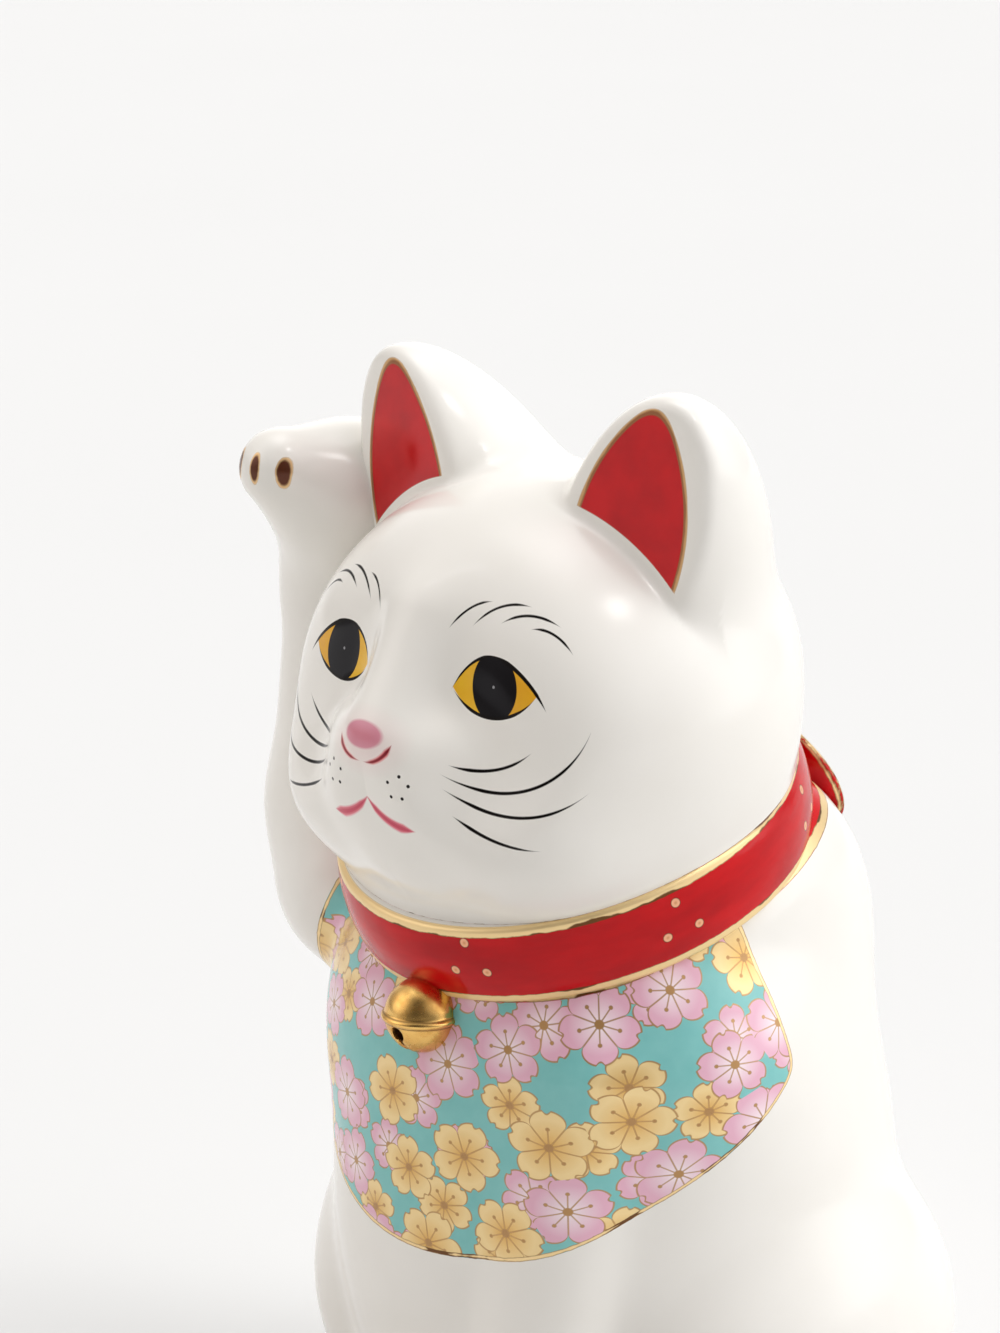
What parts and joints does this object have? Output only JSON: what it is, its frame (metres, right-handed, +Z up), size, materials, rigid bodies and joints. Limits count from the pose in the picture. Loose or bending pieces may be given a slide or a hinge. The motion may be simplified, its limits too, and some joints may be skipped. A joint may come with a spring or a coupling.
{
  "type": "porcelain lucky cat figurine",
  "caption": "Hollow-cast glazed porcelain cat that sits upright with its right paw raised, with a painted face, a red collar, a bell and a flower-patterned bib.",
  "frame": {"origin": "middle of the flat underside that the cat sits on", "axes": "+Z up, the cat faces -Y, its raised right paw is on the -X side"},
  "size_m": [0.1442, 0.1266, 0.2309],
  "materials": {
    "porcelain": "glossy white glaze, hand painted over the glaze",
    "red_enamel": "glossy red overglaze enamel",
    "gold_lustre": "fired gold lustre on glaze"
  },
  "bodies": {
    "root": {"lucky_cat": "porcelain"}
  },
  "joints": []
}
